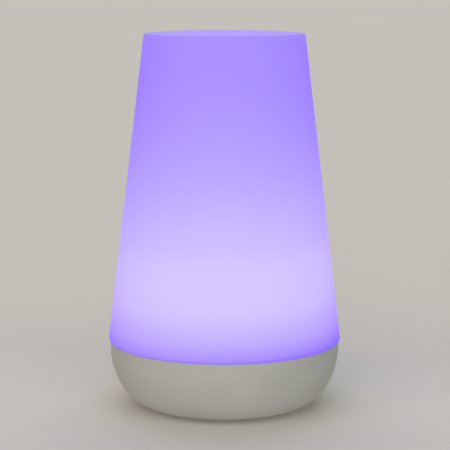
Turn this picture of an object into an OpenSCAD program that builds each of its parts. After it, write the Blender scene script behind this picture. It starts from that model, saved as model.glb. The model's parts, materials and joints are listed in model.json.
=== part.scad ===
// Bedside lamp: a glowing cone-shaped diffuser that twists onto a bowl-shaped rechargeable base.
// Z is up, the floor is Z = 0, the lamp's axis is the Z axis and the charging panel faces +Y.

/* [Shade] */
// Widest diameter of the shade, just above its lower edge
shade_d = 104; // [103:0.5:114]
// Diameter of the shade's closed top
shade_top_d = 71; // [62:0.5:84]
// Height of the shade above the seam
shade_h = 136.6; // [116:0.2:158]
// Thickness of the shade's wall
shade_wall = 2; // [1.7:0.1:2.3]
// Radius of the edge round the closed top
top_edge_r = 0.9; // [0.6:0.1:1.6]
// Height of the rounded lower edge of the shade
rim_round_h = 1; // [0.7:0.1:1.6]
// How far the widest line of the shade stands out past the bowl
rim_step = 0.7; // [0.5:0.1:1]

/* [Bowl] */
// Height of the bowl from its flat underside to the seam
bowl_h = 29; // [28.6:0.2:32]
// Thickness of the bowl's wall
bowl_wall = 2.4; // [2.1:0.1:2.8]
// Height of the upright band under the seam
bowl_band_h = 2.9; // [1.5:0.1:3.6]
// Radius of the bowl's side curve
bowl_side_r = 34.8; // [32:0.2:38]
// Radius of the curve between the side and the underside
bowl_turn_r = 17.2; // [16.4:0.2:18.6]
// Diameter of the soft pad under the bowl
foot_d = 54; // [44:1:58]
// Thickness of the soft pad
foot_t = 2; // [1.8:0.1:2.2]
// How far the pad stands out below the bowl
foot_h = 0.8; // [0.6:0.1:1]
// Radius of the pad's lower edge
foot_edge_r = 0.4; // [0.2:0.1:0.6]
// Grip rings moulded into the pad
foot_ring_count = 3; // [2:1:3]
// Distance between two grip rings
foot_ring_step = 6; // [5:0.5:7]
// Depth of a grip ring
foot_ring_depth = 0.6; // [0.4:0.1:0.8]

/* [Twist lock] */
// Number of lugs inside the shade
lug_count = 3; // [3:1:4]
// Arc of one lug, in degrees
lug_arc = 20; // [14:1:24]
// Turn between locked and free, in degrees
lock_turn = 26; // [25:1:30]
// Height of one lug
lug_h = 2.2; // [1.6:0.1:3]
// Height of the lugs above the seam
lug_lift = 2.6; // [2:0.1:3.4]
// How far a lug reaches in from the shade's wall
lug_reach = 2.4; // [2:0.1:2.8]
// Height of the hooks on the collar
hook_h = 2; // [1.6:0.1:2.6]
// Arc of the stop at the end of a hook, in degrees
stop_arc = 4; // [3:0.5:6]
// Thickness of the collar
collar_t = 2; // [1.6:0.1:2.4]

/* [Light deck] */
// Thickness of the deck plate
deck_t = 1.8; // [1.6:0.1:2.2]
// Diameter of the light board
led_board_d = 61; // [60:0.5:63]
// Thickness of the light board
led_board_t = 1.6; // [1.2:0.1:2]
// Side of one square light package
led_size = 5; // [4:0.1:5.4]
// Height of one light package
led_h = 1.5; // [1.2:0.1:1.8]
// Diameter of the round window in a light package
led_window_d = 4; // [3:0.1:4.2]
// Depth of the round window
led_window_t = 0.6; // [0.4:0.1:0.8]
// Lights in the outer ring
led_outer_count = 12; // [10:1:12]
// Radius of the outer ring of lights
led_outer_r = 18.4; // [17.6:0.2:18.8]
// Lights in the inner ring
led_inner_count = 6; // [4:1:6]
// Radius of the inner ring of lights
led_inner_r = 9; // [8:0.2:9.6]
// Length of the screw bosses under the deck
led_boss_h = 3.6; // [3:0.1:4]

/* [Charging panel] */
// Width of the panel recess
recess_w = 26; // [25.6:0.2:28]
// Height of the panel recess
recess_h = 8.4; // [8.2:0.1:9]
// Least depth of the recess, at its lower edge
recess_min = 0.6; // [0.4:0.1:1]
// Thickness of the panel behind the recess
panel_t = 1.8; // [1.6:0.1:2]
// Offset of the charging socket to the left of the middle, seen from the front
socket_x = 5.6; // [5.2:0.1:5.8]
// Width of the charging socket's metal case
socket_w = 8.94; // [8.84:0.02:9.04]
// Height of the charging socket's metal case
socket_h = 3.26; // [3.2:0.02:3.4]
// Length of the charging socket
socket_l = 7.35; // [7:0.05:7.8]
// Wall of the charging socket's metal case
socket_wall = 0.3; // [0.2:0.05:0.35]
// Width of the contact tongue
tongue_w = 6.7; // [6.4:0.1:6.9]
// Thickness of the contact tongue
tongue_t = 0.7; // [0.6:0.05:0.8]
// Length of the contact tongue
tongue_l = 4.5; // [4:0.1:4.7]
// Offset of the power button to the right of the middle
button_x = 7.2; // [6.8:0.1:7.4]
// Diameter of the power button
button_d = 6; // [5:0.1:6.2]
// How far the button stands out of the panel
button_proud = 0.7; // [0.6:0.1:1.2]
// Inward travel of the power button
button_travel = 0.3; // [0.2:0.05:0.35]
// Diameter of the indicator light pipe
pipe_d = 1.8; // [1.6:0.1:2]
// Offset of the light pipe to the right of the middle
pipe_x = 1.5; // [1.2:0.1:1.8]

/* [Main board] */
// Width of the main board
board_w = 56; // [54:0.5:57]
// Depth of the main board, front to back
board_l = 34.4; // [34:0.2:35]
// Thickness of the main board
board_t = 1.6; // [1.4:0.1:1.8]
// Height of the board posts above the bowl's floor
board_lift = 9; // [8.6:0.1:9.6]
// Gap between the back edge of the board and the panel
board_setback = 1.6; // [1.4:0.1:1.8]
// Width of the radio module
radio_w = 15; // [14:0.5:16]
// Length of the radio module
radio_l = 16; // [15:0.2:16.6]
// Height of the radio module's metal lid
radio_can_h = 2.2; // [1.8:0.1:2.8]
// Side of the square coil
coil_size = 7; // [6:0.2:7.4]
// Height of the coil
coil_h = 4; // [3:0.2:5]
// Diameter of a board capacitor
cap_d = 6.3; // [5:0.1:6.5]
// Height of a board capacitor
cap_h = 5.8; // [4.6:0.1:6.6]

/* [Battery] */
// Diameter of the bare cell
cell_d = 18; // [17.6:0.1:18.2]
// Length of the cell
cell_l = 65; // [62:0.2:65.4]
// Thickness of the printed sleeve round the cell
sleeve_t = 0.2; // [0.15:0.05:0.25]
// How far the cell lies in front of the lamp's axis
cell_front = 13; // [12.6:0.1:13.4]
// Height of the cell above the bowl's floor
cell_lift = 2; // [1.8:0.1:2.4]
// Width of the clamp over the cell
clamp_w = 12; // [10:0.5:14]
// Thickness of the clamp
clamp_t = 1.6; // [1.4:0.1:2]
// Thickness of the two saddle ribs
rib_t = 3; // [2:0.1:4]
// Width of the metal strips at the ends of the cell
tab_w = 7; // [6:0.2:8]
// Thickness of the metal strips
tab_t = 0.2; // [0.15:0.05:0.3]

/* [Wires and plugs] */
// Diameter of a harness wire
wire_d = 1.2; // [1:0.1:1.4]
// Diameter of a battery lead
lead_d = 1.5; // [1.3:0.1:1.6]
// Pitch of the plug contacts
plug_pitch = 2; // [1.9:0.1:2.2]
// Wires in the harness to the lights
wire_count = 5; // [4:1:5]
// Width of a plug across its rows
plug_t = 3.2; // [3:0.1:3.6]
// Depth of a plug inside its header
plug_in = 3.6; // [3.2:0.1:4]
// Length of a plug outside its header
plug_out = 2.6; // [2:0.1:3]
// Wall of a header
header_wall = 0.8; // [0.6:0.1:1]
// Side of a contact pin
pin_size = 0.5; // [0.4:0.05:0.6]

/* [Fasteners] */
// Thread of the screws that hold the deck
deck_screw_d = 3; // [2.6:0.1:3.2]
// Length of the deck screws under the head
deck_screw_l = 10; // [8:0.5:12]
// Thread of the screws that hold the boards and the clamp
small_screw_d = 2.5; // [2.2:0.1:2.6]
// Length of the small screws under the head
small_screw_l = 5; // [4.4:0.1:5.6]
// Wall of a screw post round its hole
post_wall = 2; // [1.8:0.1:2.4]

/* [Clearances] */
// Gap round parts that drop into a seat
fit_gap = 0.2; // [0.15:0.05:0.25]
// Gap round parts that slide
slide_gap = 0.1; // [0.08:0.02:0.14]
// Gap between the twist-lock lugs and the hooks
lock_gap = 0.35; // [0.3:0.05:0.45]

/* [Hidden] */
$fn = 72;

// Heights
seam_z = foot_h + bowl_h;
top_z = seam_z + shade_h;
rim_z = seam_z + rim_round_h;
floor_z = foot_h + bowl_wall;
band_z = seam_z - bowl_band_h;
deck_z = seam_z - deck_t;
led_z = seam_z + led_board_t;
board_z = floor_z + board_lift;
board_top = board_z + board_t;
port_z = board_top + socket_h / 2;

// The bowl's outline: an upright band, a side curve and a turn curve that meet smoothly
bowl_r = shade_d / 2 - rim_step;
side_a = asin((bowl_h - bowl_band_h - bowl_turn_r) / (bowl_side_r - bowl_turn_r));
side_x = bowl_r - bowl_side_r;
turn_x = side_x + (bowl_side_r - bowl_turn_r) * cos(side_a);
turn_z = foot_h + bowl_turn_r;
turn_steps = 16;
side_steps = 10;
overlap = 1;
foot_ring_in = 5;

// The shade's outline
lean = atan((shade_d - shade_top_d) / 2 / (top_z - rim_z));
rim_round_r = (pow(rim_round_h, 2) + pow(rim_step, 2)) / (2 * rim_step);
skirt_r = bowl_r - shade_wall;
skirt_z = rim_z + rim_step / tan(lean);
roof_z = top_z - shade_wall;
roof_r = shade_top_d / 2 + shade_wall * tan(lean) - shade_wall;
edge_steps = 6;

// Twist lock
lug_z = seam_z + lug_lift;
lug_in_r = skirt_r - lug_reach;
hook_z = lug_z + lug_h + lock_gap;
hook_r = min(skirt_r, bowl_r - bowl_wall) - lock_gap;
collar_r = lug_in_r - lock_gap;
collar_in_r = collar_r - collar_t;
deck_r = bowl_r - bowl_wall - fit_gap;
stop_slack = 0.6;
hook_slack = 2;
lug_start = 60;

// Screws: the drawn shank is the core inside the thread
core_ratio = 0.8;
head_ratio = 1.9;
head_h_ratio = 0.62;
slot_w_ratio = 0.24;
slot_l_ratio = 1.1;
slot_h_ratio = 0.36;
hole_gap = 0.3;
thread_gap = 0.1;
hole_extra = 1.5;
head_room = 1.6;
board_edge = 1;
ear_room = 0.5;
deck_screw_r = collar_in_r - deck_screw_d * head_ratio / 2 - head_room;
deck_screw_a = [30, 150, 270];
led_screw_r = led_board_d / 2 - small_screw_d * head_ratio / 2 - board_edge;
led_screw_a = [30, 150, 270];
led_screw_l = led_board_t + deck_t + led_boss_h - hole_extra;

// Charging panel: its flat floor lies a little inside the bowl's face at the recess's lower edge
recess_flat = (recess_w - recess_h) / 2;
panel_y = sqrt(pow(wall_r(port_z - recess_h / 2, 0), 2) - pow(recess_flat, 2)) - recess_min;
panel_in = panel_y - panel_t;
block_wall = bowl_wall;
gusset_t = 1.6;
socket_sub = 0.2;
socket_y = panel_y - socket_sub - socket_l;
flange_t = 0.8;
button_edge = 0.4;
button_dish = 0.3;
dish_edge = button_d / 2 - 2 * button_edge;
dish_r = (pow(dish_edge, 2) + pow(button_dish, 2)) / (2 * button_dish);
flange_lip = 0.7;
flange_y = panel_in - slide_gap - flange_t;
nub_d = 3;
nub_l = 2;
plunger_d = 2;
plunger_y = flange_y - nub_l;
plunger_out = 2 * button_travel;
plunger_in = 1.3;
switch_w = 6;
switch_l = 3.6;
switch_h = socket_h;
switch_y = plunger_y - plunger_out - switch_l;
plunger_room = button_travel + slide_gap;
pipe_lip = 0.5;
pipe_lip_t = 0.8;
pipe_end = 3.2;
pipe_dome = 0.25;
pipe_dome_r = (pow(pipe_d / 2, 2) + pow(pipe_dome, 2)) / (2 * pipe_dome);
indicator_w = 3;
indicator_l = 1.2;
indicator_h = 2;
indicator_y = panel_in - pipe_end - fit_gap - indicator_l;

// Main board and the parts that stand on it
board_rear = panel_in - board_setback;
board_front = board_rear - board_l;
board_r = wall_r(board_z, bowl_wall) - 3 * fit_gap;
small_post_r = small_screw_d * core_ratio / 2 + thread_gap + post_wall;
deck_post_r = deck_screw_d * core_ratio / 2 + thread_gap + post_wall;
post_inset = 5;
rear_post_x = 18;
rear_post_in = 7;
board_posts = [[-(board_w / 2 - post_inset), board_front + post_inset],
    [board_w / 2 - post_inset, board_front + post_inset],
    [-rear_post_x, board_rear - rear_post_in], [rear_post_x, board_rear - rear_post_in]];
radio_t = 0.8;
radio_x = 16.4;
radio_from_front = 16.4;
radio_y = board_front + radio_from_front;
radio_lid_in = 1.2;
lid_corner_r = 0.8;
radio_antenna = 4.6;
radio_pad_count = 6;
radio_pad_pitch = 1.5;
radio_pad_d = 0.8;
coil_x = 21.4;
coil_from_front = 20;
coil_y = board_front + coil_from_front;
coil_foot = 0.6;
cap_x = 11.8;
cap_from_front = 16.4;
cap_step = 7.4;
cap_y = board_front + cap_from_front;
cap_base_h = 0.8;
cap_base_cut = 1.2;
cap_neck_z = 1.9;
cap_neck_r = 0.4;
cap_edge_r = 0.5;
// Chips with legs: middle x, middle y from the board's front edge, length along x, width, height, legs a side
legged_chips = [[-16, 4.5, 6, 5, 1.6, 4], [3.4, 6, 5, 4, 1.4, 4]];
// Chips and small parts soldered flat: the same without legs
flat_chips = [[-6, 6, 4, 4, 0.9], [21.4, 12.8, 4.2, 3, 1.1], [-3.6, 12.6, 2, 1.25, 0.8], [0, 12.6, 2, 1.25, 0.8],
    [3.6, 12.6, 2, 1.25, 0.8], [-6.8, 25.4, 3, 2.6, 1]];
chip_lift = 0.1;
leg_pitch = 1.2;
leg_w = 0.4;
leg_t = 0.2;
leg_out = 1;
leg_foot = 0.6;
leg_knee = leg_out - leg_foot;

// Battery
cell_r = cell_d / 2;
pack_r = cell_r + sleeve_t + fit_gap / 4;
cell_y = -cell_front;
cell_z = floor_z + cell_lift + pack_r;
sleeve_in = cell_r + fit_gap / 4;
sleeve_lap = 2.4;
cell_cap_d = 6.4;
cell_cap_h = 1;
cell_edge_r = 0.8;
bead_r = 0.7;
bead_in = 3;
seat_gap = 0.15;
clamp_in = pack_r + seat_gap;
clamp_r = clamp_in + clamp_t;
ear_y = clamp_r + small_screw_d * head_ratio / 2 + ear_room;
ear_drop = 1;
ear_z = cell_z - ear_drop;
rib_x = 22;
rib_lip = 2;
rib_w = 2 * (clamp_in + rib_lip);
rib_drop = 4;
rib_top = cell_z - rib_drop;
tab_h = 12;
tab_low = 3;
solder_in = 1.6;

// Headers and plugs
wire_span = (wire_count - 1) * plug_pitch;
plug_gap = 0.15;
plug_margin = 1.6;
plug_w = wire_span + 2 * plug_margin;
battery_plug_w = plug_pitch + 2 * plug_margin;
header_floor = 1;
header_l = header_floor + plug_in;
key_w = 1.2;
key_h = 2.4;
header_t = plug_t + 2 * (plug_gap + header_wall);
header_w = plug_w + 2 * (plug_gap + header_wall);
battery_header_w = battery_plug_w + 2 * (plug_gap + header_wall);
harness_from_front = 21.4;
harness_y = board_front + harness_from_front;
battery_x = 13.4;
battery_from_front = 6.4;
battery_y = board_front + battery_from_front;
led_header_y = led_board_d / 2 - plug_out;
led_plug_y = led_header_y + plug_out;
led_plug_z = led_z + header_t / 2;
main_plug_z = board_top + header_l + plug_out;
pin_l = 3;

// Slot in the deck for the harness
slot_side = 1;
slot_gap = 1.6;
slot_l = 6.4;
slot_w = plug_w + 2 * slot_side;
slot_y0 = led_plug_y + slot_gap;
slot_y1 = slot_y0 + slot_l;
slot_y = (slot_y0 + slot_y1) / 2;

// Routes of the wires, from the main board up to the lights and from the cell to the board
straight = 1.4;
harness_route = [[0, harness_y, main_plug_z], [0, harness_y, main_plug_z + straight],
    [0, harness_y + 1.6, main_plug_z + 3], [0, slot_y - 1.6, deck_z - 1.6], [0, slot_y, deck_z + 0.4],
    [0, slot_y + 0.3, led_plug_z - 2.2], [0, slot_y - 1.2, led_plug_z - 0.2],
    [0, led_plug_y + straight, led_plug_z], [0, led_plug_y, led_plug_z]];
lead_out = cell_l / 2 + tab_t;
lead_z = cell_z + tab_h - tab_low - solder_in;
lead_top = deck_z - led_boss_h - lead_d;
lead_in = 1.6;
lead_arch = main_plug_z + 3.2;
positive_x = battery_x + plug_pitch / 2;
negative_x = battery_x - plug_pitch / 2;
negative_out = lead_out + sleeve_t;
positive_route = [[lead_out, cell_y, lead_z], [lead_out + straight, cell_y, lead_z],
    [lead_out + 3.4, cell_y + 2, lead_z + 1.2], [lead_out + 1.6, cell_y + 9, lead_top],
    [lead_out - 8, cell_y + 16, lead_top], [positive_x + lead_in, battery_y - lead_in, lead_arch],
    [positive_x, battery_y, main_plug_z + straight], [positive_x, battery_y, main_plug_z]];
negative_route = [[-negative_out, cell_y, lead_z], [-negative_out - straight, cell_y, lead_z],
    [-negative_out - 3.4, cell_y + 2, lead_z + 1.2], [-negative_out - 1, cell_y + 9.4, lead_top],
    [-negative_out + 9, cell_y + 16, lead_top], [-8, battery_y - 5, lead_top],
    [negative_x - lead_in, battery_y - lead_in, lead_arch],
    [negative_x, battery_y, main_plug_z + straight], [negative_x, battery_y, main_plug_z]];
route_steps = 3;
wire_sides = 8;

// Radius of the bowl's wall at height z, at a depth t inside its outer face
function wall_r(z, t) =
    z >= band_z ? bowl_r - t :
    z >= band_z - (bowl_side_r - t) * sin(side_a)
        ? side_x + sqrt(pow(bowl_side_r - t, 2) - pow(band_z - z, 2))
        : turn_x + sqrt(max(0, pow(bowl_turn_r - t, 2) - pow(turn_z - z, 2)));

// Points along an arc
function arc(x, z, r, a0, a1, n) =
    [for (i = [0:n]) let (a = a0 + (a1 - a0) * i / n) [x + r * cos(a), z + r * sin(a)]];
function tail(v) = [for (i = [1:len(v) - 1]) v[i]];
function unit(v) = v / norm(v);

// The bowl's outline at a depth t inside its outer face, up to the height top
function bowl_outline(t, top) = concat([[0, foot_h + t]],
    arc(turn_x, turn_z, bowl_turn_r - t, -90, -side_a, turn_steps),
    tail(arc(side_x, band_z, bowl_side_r - t, -side_a, 0, side_steps)),
    [[bowl_r - t, top], [0, top]]);

// Middle of the rounded corner between a leaning wall and a flat roof
function corner_x(r, edge) = r - edge * (1 - sin(lean)) / cos(lean);

// A smooth line through the points of a route
function spline(a, b, c, d, t) = 0.5 * (2 * b + (c - a) * t + (2 * a - 5 * b + 4 * c - d) * t * t
    + (3 * b - a - 3 * c + d) * t * t * t);
function smooth(p) = concat([for (i = [0:len(p) - 2], k = [0:route_steps - 1])
    spline(p[max(i - 1, 0)], p[i], p[i + 1], p[min(i + 2, len(p) - 1)], k / route_steps)], [p[len(p) - 1]]);
function headings(p, first, last) = [for (i = [0:len(p) - 1])
    i == 0 ? first : i == len(p) - 1 ? last : unit(p[i + 1] - p[i - 1])];
function carried(t, n, i = 0) = i == len(t) ? [] :
    let (m = unit(n - (n * t[i]) * t[i])) concat([m], carried(t, m, i + 1));

// Solid turned from the bowl's outline, moved in by t and cut off at a height
module bowl_solid(t, top) rotate_extrude() polygon(bowl_outline(t, top));

// Flat shape with two straight sides and two half-round ends
module obround(w, h) {
    square([w - h, h], center = true);
    for (s = [-1, 1]) translate([s * (w - h) / 2, 0]) circle(d = h);
}

// Flat rectangle with rounded corners
module plate(w, l, r) {
    square([w - 2 * r, l], center = true);
    square([w, l - 2 * r], center = true);
    for (x = [-1, 1], y = [-1, 1]) translate([x * (w / 2 - r), y * (l / 2 - r)]) circle(r = r);
}

// Draws a flat shape as a bar along Y at the height of the panel
module along_y(x, y0, y1)
    translate([x, y0, port_z]) rotate([-90, 0, 0]) linear_extrude(y1 - y0) children();

module box(x, y, z, w, l, h) translate([x - w / 2, y - l / 2, z]) cube([w, l, h]);

module ring(r0, r1, z0, z1) translate([0, 0, z0]) difference() {
    cylinder(r = r1, h = z1 - z0);
    translate([0, 0, -overlap]) cylinder(r = r0, h = z1 - z0 + 2 * overlap);
}

module arc_block(r0, r1, z0, z1, a0, a1)
    rotate([0, 0, a0]) rotate_extrude(angle = a1 - a0) translate([r0, z0]) square([r1 - r0, z1 - z0]);

module around(r, angles) for (a = angles) rotate([0, 0, a]) translate([r, 0, 0]) children();

// Pan-head screw standing on Z = 0, with a cross recess
module screw(d, l) {
    r = d * head_ratio / 2;
    h = d * head_h_ratio;
    difference() {
        union() {
            rotate_extrude() polygon(concat([[0, 0], [r, 0]],
                arc(r - h / 2, h / 2, h / 2, 0, 90, edge_steps), [[0, h]]));
            translate([0, 0, -l]) cylinder(d = d * core_ratio, h = l + h / 2);
        }
        for (a = [0, 90]) rotate([0, 0, a])
            box(0, 0, h - d * slot_h_ratio, d * slot_l_ratio, d * slot_w_ratio, d);
    }
}

module pilot(d, l) translate([0, 0, -l]) cylinder(d = d * core_ratio + 2 * thread_gap, h = l + overlap);

module sweep(route, d, shift, side) {
    p = [for (q = smooth(route)) q + shift];
    e = len(route) - 1;
    t = headings(p, unit(route[1] - route[0]), unit(route[e] - route[e - 1]));
    n = carried(t, side);
    k = wire_sides;
    polyhedron(
        points = [for (i = [0:len(p) - 1], j = [0:k - 1])
            p[i] + d / 2 * (cos(360 * j / k) * n[i] + sin(360 * j / k) * cross(t[i], n[i]))],
        faces = concat([[for (j = [0:k - 1]) k - 1 - j]],
            [for (i = [0:len(p) - 2], j = [0:k - 1])
                [i * k + j, i * k + (j + 1) % k, (i + 1) * k + (j + 1) % k, (i + 1) * k + j]],
            [[for (j = [0:k - 1]) (len(p) - 1) * k + j]]));
}

// Diffuser shade: thin cone with a closed top and the twist-lock lugs inside its lower edge
module shade() color("#cbb8ff") {
    rotate_extrude() polygon(concat([[skirt_r, seam_z]],
        arc(shade_d / 2 - rim_round_r, rim_z, rim_round_r, -asin(rim_round_h / rim_round_r), 0, edge_steps),
        arc(corner_x(shade_top_d / 2, top_edge_r), top_z - top_edge_r, top_edge_r, lean, 90, edge_steps),
        [[0, top_z], [0, roof_z]],
        arc(corner_x(roof_r, top_edge_r), roof_z - top_edge_r, top_edge_r, 90, lean, edge_steps),
        [[skirt_r, skirt_z]]));
    for (i = [0:lug_count - 1])
        arc_block(lug_in_r, skirt_r + shade_wall / 2, lug_z, lug_z + lug_h,
            lug_start + i * 360 / lug_count, lug_start + i * 360 / lug_count + lug_arc);
}

// Bowl: the moulded base with its posts, saddle ribs and charging panel
module base_bowl() color("#b9b5aa") difference() {
    union() {
        difference() {
            bowl_solid(0, seam_z);
            bowl_solid(bowl_wall, seam_z + overlap);
        }
        intersection() {
            bowl_solid(bowl_wall / 2, deck_z);
            union() {
                around(deck_screw_r, deck_screw_a) {
                    cylinder(r = deck_post_r, h = deck_z);
                    translate([0, -gusset_t / 2, 0]) cube([bowl_r - deck_screw_r, gusset_t, deck_z - deck_post_r]);
                }
                for (p = board_posts) translate([p[0], p[1], 0]) cylinder(r = small_post_r, h = board_z);
                for (s = [-1, 1]) translate([0, cell_y + s * ear_y, 0]) cylinder(r = small_post_r, h = ear_z);
                for (s = [-1, 1]) box(s * rib_x, cell_y, 0, rib_t, rib_w, rib_top);
                box(0, panel_in + bowl_r / 2, port_z - recess_h / 2 - block_wall,
                    recess_w + 2 * block_wall, bowl_r, recess_h + 2 * block_wall);
            }
        }
    }
    along_y(0, panel_y, bowl_r + overlap) obround(recess_w, recess_h);
    along_y(-socket_x, panel_in - overlap, panel_y + overlap)
        obround(socket_w + 2 * fit_gap, socket_h + 2 * fit_gap);
    along_y(button_x, panel_in - overlap, panel_y + overlap) circle(d = button_d + 2 * fit_gap);
    along_y(pipe_x, panel_in - overlap, panel_y + overlap) circle(d = pipe_d + 2 * slide_gap);
    translate([0, cell_y, cell_z]) rotate([0, 90, 0])
        cylinder(r = pack_r + seat_gap, h = cell_l, center = true);
    around(deck_screw_r, deck_screw_a) translate([0, 0, deck_z])
        pilot(deck_screw_d, deck_screw_l - deck_t + hole_extra);
    for (p = board_posts) translate([p[0], p[1], board_z])
        pilot(small_screw_d, small_screw_l - board_t + hole_extra);
    for (s = [-1, 1]) translate([0, cell_y + s * ear_y, ear_z])
        pilot(small_screw_d, small_screw_l - clamp_t + hole_extra);
    translate([0, 0, -overlap]) cylinder(d = foot_d + 2 * fit_gap, h = foot_t + overlap);
}

// Soft pad let into the underside of the bowl, with grip rings in its face
module foot_pad() color("#6d6a66") difference() {
    rotate_extrude() polygon(concat([[0, 0]],
        arc(foot_d / 2 - foot_edge_r, foot_edge_r, foot_edge_r, -90, 0, edge_steps),
        [[foot_d / 2, foot_t], [0, foot_t]]));
    for (i = [0:foot_ring_count - 1]) rotate_extrude()
        translate([foot_d / 2 - foot_ring_in - i * foot_ring_step, 0]) circle(r = foot_ring_depth);
}

// Light deck: white plate with the hooked collar that takes the shade
module light_deck() color("#f0efea") difference() {
    union() {
        translate([0, 0, deck_z]) cylinder(r = deck_r, h = deck_t);
        ring(collar_in_r, collar_r, seam_z - deck_t / 2, hook_z + hook_h);
        for (i = [0:lug_count - 1]) {
            a = lug_start + i * 360 / lug_count;
            arc_block(collar_r - collar_t / 2, hook_r, hook_z, hook_z + hook_h,
                a - stop_slack - stop_arc, a + lug_arc + hook_slack);
            arc_block(collar_r - collar_t / 2, hook_r, seam_z - deck_t / 2, hook_z + hook_h / 2,
                a - stop_slack - stop_arc, a - stop_slack);
        }
        around(led_screw_r, led_screw_a) translate([0, 0, deck_z - led_boss_h])
            cylinder(r = small_post_r, h = led_boss_h + deck_t / 2);
    }
    around(deck_screw_r, deck_screw_a) translate([0, 0, deck_z - overlap])
        cylinder(d = deck_screw_d + hole_gap, h = deck_t + 2 * overlap);
    around(led_screw_r, led_screw_a) translate([0, 0, seam_z])
        pilot(small_screw_d, deck_t + led_boss_h - hole_extra / 2);
    translate([0, slot_y, deck_z - overlap]) linear_extrude(deck_t + 2 * overlap) obround(slot_w, slot_l);
}

// Screws through the deck into the bowl's posts
module deck_screws() color("#b6b8bc") around(deck_screw_r, deck_screw_a)
    translate([0, 0, seam_z]) screw(deck_screw_d, deck_screw_l);

// Round light board
module led_board() color("#f4f4f1") difference() {
    translate([0, 0, seam_z]) cylinder(d = led_board_d, h = led_board_t);
    around(led_screw_r, led_screw_a) translate([0, 0, seam_z - overlap])
        cylinder(d = small_screw_d + hole_gap, h = led_board_t + 2 * overlap);
}

module led_places(count, r, skip) for (i = [0:count - 1]) if (i != skip)
    rotate([0, 0, 90 + (i + 0.5) * 360 / count]) translate([r, 0, led_z]) children();

module led_body() difference() {
    box(0, 0, 0, led_size, led_size, led_h);
    translate([0, 0, led_h - led_window_t]) cylinder(d = led_window_d, h = led_window_t + overlap);
}

module led_pane() translate([0, 0, led_h - led_window_t])
    cylinder(d = led_window_d - 2 * slide_gap, h = led_window_t);

// Light packages: an outer ring of coloured lights and an inner ring of white ones
module led_packages() color("#fbfbf8") {
    led_places(led_outer_count, led_outer_r, -1) led_body();
    led_places(led_inner_count, led_inner_r, -1) led_body();
}

// Clear windows of the coloured lights
module led_windows() color("#d9d4f5") led_places(led_outer_count, led_outer_r, -1) led_pane();

// Yellow windows of the white lights
module led_phosphors() color("#e8d24a") led_places(led_inner_count, led_inner_r, -1) led_pane();

// Screws that hold the light board to the deck
module led_board_screws() color("#b6b8bc") around(led_screw_r, led_screw_a)
    translate([0, 0, led_z]) screw(small_screw_d, led_screw_l);

// Two keys that let a plug in one way round: the slots of the header and the ridges of the plug
module keys(w, y, t, key, z, h) for (s = [-1, 1]) box(s * w / 4, y, z, key, t, h);

// Header drawn with its mouth up, its floor on Z = 0
module header(w) difference() {
    box(0, 0, 0, w + 2 * (plug_gap + header_wall), header_t, header_l);
    box(0, 0, header_floor, w + 2 * plug_gap, plug_t + 2 * plug_gap, header_l);
    keys(w, -header_t / 2, 2 * (header_wall + plug_gap), key_w, header_l - key_h, key_h + overlap);
}

// Plug drawn in the same place, with sockets for the pins
module plug(w, count) difference() {
    union() {
        box(0, 0, header_floor, w, plug_t, plug_in + plug_out);
        keys(w, -plug_t / 2, 2 * header_wall, key_w - 2 * plug_gap, header_l - key_h + plug_gap,
            key_h - plug_gap + plug_out);
    }
    for (i = [0:count - 1])
        box((i - (count - 1) / 2) * plug_pitch, 0, header_floor - overlap,
            pin_size + 2 * slide_gap, pin_size + 2 * slide_gap, overlap + pin_l + slide_gap);
}

module pins(count) for (i = [0:count - 1])
    box((i - (count - 1) / 2) * plug_pitch, 0, header_floor, pin_size, pin_size, pin_l);

module on_led_board() translate([0, led_header_y - header_l, led_plug_z]) rotate([-90, 0, 0]) children();
module at_harness() translate([0, harness_y, board_top]) children();
module at_battery() translate([battery_x, battery_y, board_top]) children();

// Header on the light board, its mouth toward the deck's slot
module led_header() color("#efe9dc") on_led_board() header(plug_w);

// Plugs at both ends of the harness
module harness_plugs() color("#e6dfcf") {
    on_led_board() plug(plug_w, wire_count);
    at_harness() plug(plug_w, wire_count);
}

// Harness from the main board up through the deck to the light board
module harness_wires() color("#d8d4cc") for (i = [0:wire_count - 1])
    sweep(harness_route, wire_d, [(i - (wire_count - 1) / 2) * plug_pitch, 0, 0], [1, 0, 0]);

// Main board, held on four posts behind the cell
module main_board() color("#2f6b4f") translate([0, 0, board_z]) difference() {
    linear_extrude(board_t) intersection() {
        circle(r = board_r);
        translate([-board_w / 2, board_front]) square([board_w, board_l]);
    }
    for (p = board_posts) translate([p[0], p[1], -overlap])
        cylinder(d = small_screw_d + hole_gap, h = board_t + 2 * overlap);
}

// Screws that hold the main board
module board_screws() color("#b6b8bc") for (p = board_posts)
    translate([p[0], p[1], board_top]) screw(small_screw_d, small_screw_l);

// Headers on the main board for the harness and the battery
module board_headers() color("#efe9dc") {
    at_harness() header(plug_w);
    at_battery() header(battery_plug_w);
}

// Contact pins of all three headers
module header_pins() color("#c9a24a") {
    on_led_board() pins(wire_count);
    at_harness() pins(wire_count);
    at_battery() pins(2);
}

// Radio module: a small board soldered flat on the main board by half-round pads in its edges
module radio_module() color("#20242c") translate([-radio_x, radio_y - radio_antenna / 2, board_top]) difference() {
    box(0, radio_antenna / 2, 0, radio_w, radio_l, radio_t);
    for (s = [-1, 1], i = [0:radio_pad_count - 1])
        translate([s * radio_w / 2, (i - (radio_pad_count - 1) / 2) * radio_pad_pitch, -overlap])
            cylinder(d = radio_pad_d, h = radio_t + 2 * overlap);
}

// Drawn metal lid of the radio module; the end without a lid carries the aerial
module radio_lid() color("#c3c6ca") translate([-radio_x, radio_y - radio_antenna / 2, board_top + radio_t])
    linear_extrude(radio_can_h)
        plate(radio_w - 2 * radio_lid_in, radio_l - radio_antenna - radio_lid_in, lid_corner_r);

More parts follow.
